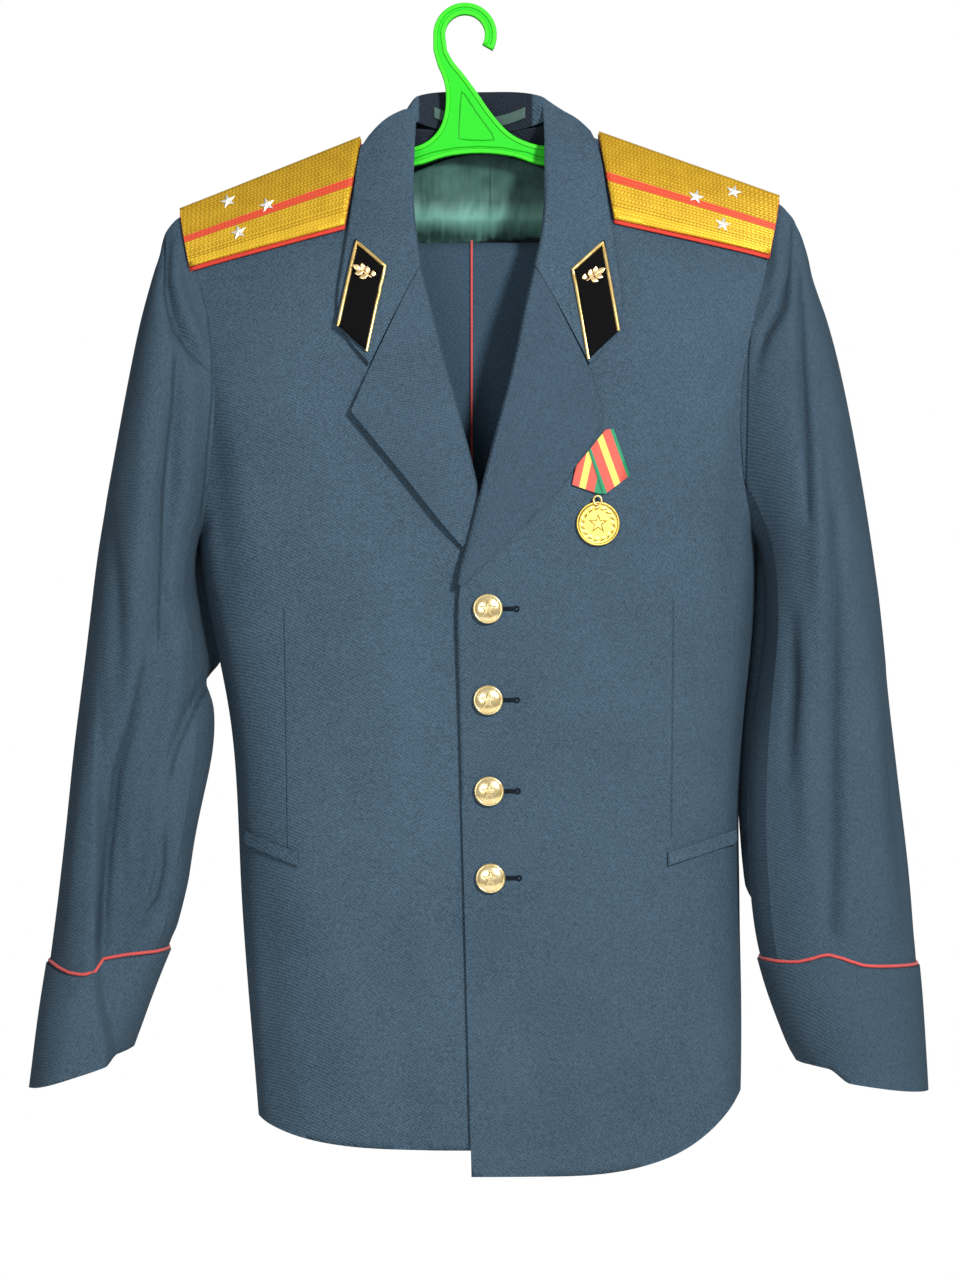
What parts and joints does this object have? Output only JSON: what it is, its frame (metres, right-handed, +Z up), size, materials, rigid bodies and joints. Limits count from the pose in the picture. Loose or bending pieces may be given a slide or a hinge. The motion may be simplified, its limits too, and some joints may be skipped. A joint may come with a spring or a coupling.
{
  "type": "uniform jacket and trousers on hanger",
  "caption": "Parade uniform on a hanger: a buttoned jacket with shoulder boards, collar tabs and a medal, over trousers folded across the hanger's bar.",
  "frame": {"origin": "the seat under the crown of the hanger's hook, where a rail holds it", "axes": "+Z up, the jacket's front faces -Y, the wearer's left is at +X"},
  "size_m": [0.673, 0.1477, 0.877],
  "materials": {
    "wool": "dark blue-green wool twill, matt",
    "lining": "green satin, soft sheen",
    "loop": "grey-green woven tape",
    "piping": "red corded wool piping",
    "braid": "gold metallic braid with a red centre stripe",
    "felt": "red felt",
    "velvet": "black velvet",
    "gilt": "polished gilt metal",
    "silver": "bright silver-coloured metal",
    "medal": "struck brass, slightly dull",
    "ribbon": "ribbed ribbon, red with yellow and green stripes",
    "hanger": "bright green moulded plastic"
  },
  "bodies": {
    "root": {"back": "wool", "board_braid_left": "braid", "board_braid_right": "braid", "board_felt_left": "felt", "board_felt_right": "felt", "board_star_left_1": "silver", "board_star_left_2": "silver", "board_star_left_3": "silver", "board_star_right_1": "silver", "board_star_right_2": "silver", "board_star_right_3": "silver", "button_1": "gilt", "button_2": "gilt", "button_3": "gilt", "button_4": "gilt", "collar": "wool", "cuff_left": "wool", "cuff_piping_left": "piping", "cuff_piping_right": "piping", "cuff_right": "wool", "front_left": "wool", "front_right": "wool", "hanger": "hanger", "hanger_bar": "hanger", "hanging_loop": "loop", "lapel_left": "wool", "lapel_right": "wool", "lining": "lining", "medal_disc": "medal", "medal_ribbon": "ribbon", "medal_ring": "medal", "pocket_welt_left": "wool", "pocket_welt_right": "wool", "sleeve_top_left": "wool", "sleeve_top_right": "wool", "sleeve_under_left": "wool", "sleeve_under_right": "wool", "tab_frame_left": "gilt", "tab_frame_right": "gilt", "tab_sprig_left": "gilt", "tab_sprig_right": "gilt", "tab_velvet_left": "velvet", "tab_velvet_right": "velvet", "trouser_folds": "wool", "trouser_leg": "wool", "trouser_piping": "piping", "waistband": "wool"}
  },
  "joints": []
}
